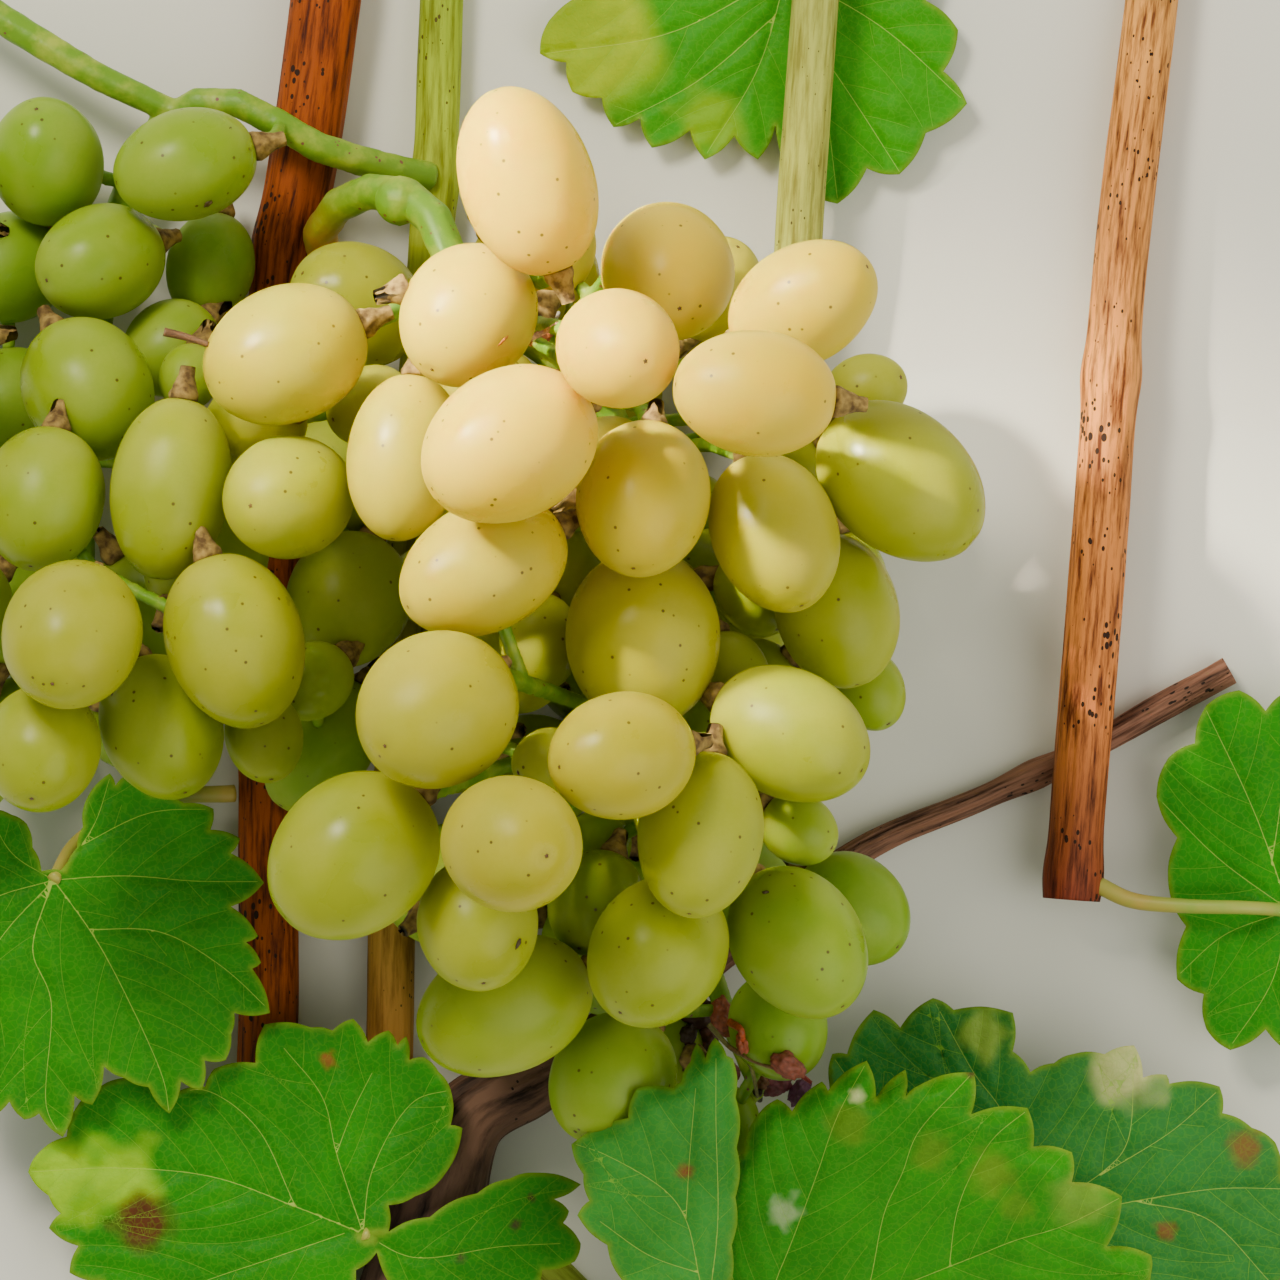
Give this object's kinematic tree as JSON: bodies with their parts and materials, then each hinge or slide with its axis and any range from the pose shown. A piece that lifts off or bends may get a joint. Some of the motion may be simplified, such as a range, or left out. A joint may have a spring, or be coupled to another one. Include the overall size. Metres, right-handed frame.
{
  "type": "fruiting grapevine branch",
  "caption": "Cut length of fruiting grapevine lying face up: old wood, ripened canes, lobed leaves, and ripe bunches of oval white table grapes.",
  "frame": {"origin": "centre of the base of the bounding box, on the surface that the cut branch lies on", "axes": "+X to the right and +Y up in the front view of the plant, along the canes; +Z up, out of the front of the bunches"},
  "size_m": [0.2766, 0.2554, 0.1328],
  "materials": {
    "old_bark": "rough peeling bark",
    "cane_bark": "satin bark with fine grooves",
    "green_stem": "matte green stem with brown specks",
    "green_berry": "waxy satin skin",
    "pale_berry": "waxy satin skin",
    "ripe_berry": "waxy satin skin",
    "leaf": "satin leaf with raised veins"
  },
  "bodies": {
    "root": {"old_wood": "old_bark", "cane_left": "cane_bark", "cane_middle": "cane_bark", "cane_back": "cane_bark", "cane_right": "cane_bark", "low_shoot": "green_stem", "main_bunch_stem": "green_stem", "left_bunch_stem": "green_stem", "shoulder_cluster": "green_berry", "upper_cluster": "green_berry", "lower_cluster": "green_berry", "tip_cluster": "green_berry", "left_upper_cluster": "green_berry", "left_lower_cluster": "green_berry", "berry_m25": "pale_berry", "berry_m27": "pale_berry", "berry_m41": "pale_berry", "berry_m35": "pale_berry", "berry_m38": "pale_berry", "berry_m34": "pale_berry", "berry_m17": "pale_berry", "berry_m37": "pale_berry", "berry_m28": "pale_berry", "berry_m16": "pale_berry", "berry_m15": "pale_berry", "berry_m31": "pale_berry", "berry_m22": "pale_berry", "berry_m20": "pale_berry", "berry_m29": "pale_berry", "berry_m14": "pale_berry", "berry_l01": "pale_berry", "berry_l03": "pale_berry", "berry_l05": "pale_berry", "berry_l08": "pale_berry", "berry_l13": "pale_berry", "berry_l14": "pale_berry", "berry_l02": "pale_berry", "berry_l09": "pale_berry", "berry_l12": "pale_berry", "berry_l11": "pale_berry", "berry_l10": "pale_berry", "berry_m05": "ripe_berry", "berry_m08": "ripe_berry", "berry_m12": "ripe_berry", "berry_m02": "ripe_berry", "berry_m01": "ripe_berry", "berry_m03": "ripe_berry", "berry_m10": "ripe_berry", "berry_m06": "ripe_berry", "berry_m07": "ripe_berry", "berry_m11": "ripe_berry", "leaf_left": "leaf", "leaf_low": "leaf", "leaf_folded": "leaf", "leaf_right": "leaf", "leaf_far_right": "leaf", "leaf_top": "leaf", "leaf_side": "leaf"}
  },
  "joints": []
}
